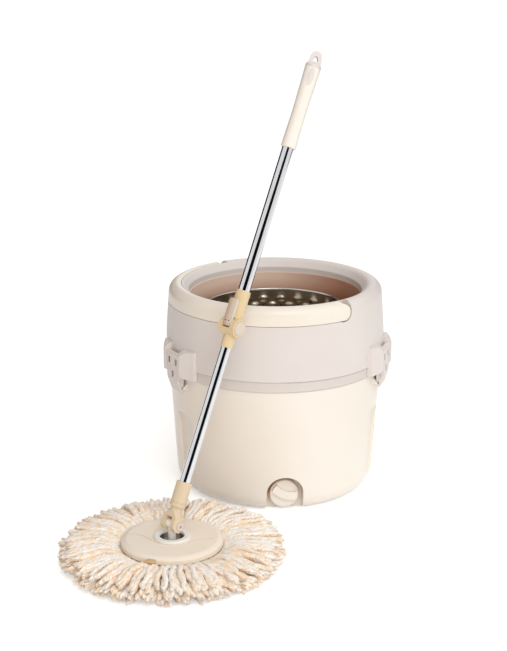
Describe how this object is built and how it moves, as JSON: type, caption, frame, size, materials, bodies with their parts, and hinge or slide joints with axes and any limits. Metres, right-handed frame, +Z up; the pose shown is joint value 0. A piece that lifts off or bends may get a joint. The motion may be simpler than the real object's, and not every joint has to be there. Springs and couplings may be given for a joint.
{
  "type": "spin mop and bucket set",
  "caption": "Round mop bucket with a latched collar, bail handle and spinning steel basket, and a strand mop on a telescopic twist-drive pole standing beside it.",
  "frame": {"origin": "middle of the tub's flat underside, on the floor", "axes": "+Z up, -Y towards the drain knob, +X to the right of someone facing the drain"},
  "size_m": [0.508, 0.6322, 0.6764],
  "materials": {
    "cream": "satin gloss moulded",
    "grey": "satin moulded",
    "guard": "gloss moulded",
    "tan": "satin gloss moulded",
    "white": "satin moulded",
    "steel": "pressed stainless",
    "chrome": "polished",
    "seal": "soft",
    "yarn": "chenille strands"
  },
  "bodies": {
    "bucket": {"tub": "cream", "seal_ring": "grey", "collar": "grey", "splash_guard": "guard", "bail_pins": "steel", "latch_pins": "steel", "centre_post": "white", "post_screws": "steel", "spindle_bush": "white", "thrust_washer": "steel", "drain_seat": "white", "drain_gasket": "seal", "drain_nut": "white"},
    "basket": {"basket_drum": "steel", "basket_hub": "white", "spindle": "steel", "hub_nut": "steel"},
    "bail": {"bail_handle": "cream"},
    "latch_left": {"latch_left": "grey"},
    "latch_right": {"latch_right": "grey"},
    "latch_rear": {"latch_rear": "grey"},
    "drain": {"drain_knob": "cream", "drain_clip": "steel"},
    "lower_pole": {"fork": "tan", "hinge_pin": "steel", "pin_caps": "grey", "lower_tube": "chrome", "guide_bush": "white", "nut_seat": "white"},
    "drive": {"drive_nut": "white"},
    "upper_pole": {"upper_tube": "chrome", "twist_rod": "steel", "rod_stop": "white", "rod_anchor": "white", "lock_body": "tan", "cam_pin": "steel", "lock_caps": "grey", "grip": "cream", "grip_inset": "grey", "end_cap": "grey"},
    "lever": {"lock_lever": "grey"},
    "tilt_post": {"swivel_post": "white"},
    "head": {"mop_plate": "cream", "plate_ring": "white", "swivel_cup": "steel", "yarn_ring": "white", "yarn_head": "yarn"}
  },
  "joints": [
    {"name": "basket_spin", "type": "hinge", "parent": "bucket", "child": "basket", "pos_m": [0, 0, 0.15], "axis": [0, 0, 1], "continuous": true},
    {"name": "bail_swing", "type": "hinge", "parent": "bucket", "child": "bail", "pos_m": [0, 0, 0.305], "axis": [-0.5299, 0.848, 0], "range_deg": [0, 90]},
    {"name": "latch_left_swing", "type": "hinge", "parent": "bucket", "child": "latch_left", "pos_m": [-0.15804, -0.07036, 0.227], "axis": [-0.4067, 0.9135, 0], "range_deg": [0, 80]},
    {"name": "latch_right_swing", "type": "hinge", "parent": "bucket", "child": "latch_right", "pos_m": [0.15804, -0.07036, 0.227], "axis": [-0.4067, -0.9135, 0], "range_deg": [0, 80]},
    {"name": "latch_rear_swing", "type": "hinge", "parent": "bucket", "child": "latch_rear", "pos_m": [0, 0.173, 0.227], "axis": [1, 0, 0], "range_deg": [0, 80]},
    {"name": "drain_turn", "type": "hinge", "parent": "bucket", "child": "drain", "pos_m": [0, -0.13, 0.0254], "axis": [0, 1, 0], "range_deg": [0, 90]},
    {"name": "mop_lift", "type": "slide", "parent": "bucket", "child": "lower_pole", "axis": [0, 0, 1], "range_m": [0, 0.3]},
    {"name": "head_tilt", "type": "hinge", "parent": "lower_pole", "child": "tilt_post", "pos_m": [-0.17409, -0.29321, 0.052], "axis": [0.6652, -0.7466, 0], "range_deg": [-105, 54]},
    {"name": "head_swivel", "type": "hinge", "parent": "tilt_post", "child": "head", "pos_m": [-0.17409, -0.29321, 0.021], "axis": [0, 0, 1], "continuous": true},
    {"name": "pole_slide", "type": "slide", "parent": "lower_pole", "child": "upper_pole", "axis": [0.3226, 0.2874, 0.9018], "range_m": [0, 0.27]},
    {"name": "nut_spin", "type": "hinge", "parent": "lower_pole", "child": "drive", "pos_m": [0.01625, -0.12362, 0.58408], "axis": [0.3226, 0.2874, 0.9018], "range_deg": [-1100, 10]},
    {"name": "lever_flip", "type": "hinge", "parent": "upper_pole", "child": "lever", "pos_m": [-0.08905, -0.21743, 0.31566], "axis": [0.6652, -0.7466, 0], "range_deg": [0, 90]}
  ],
  "couplings": [
    {"joint": "nut_spin", "follows": "pole_slide", "rad_per_m": -69.813}
  ]
}
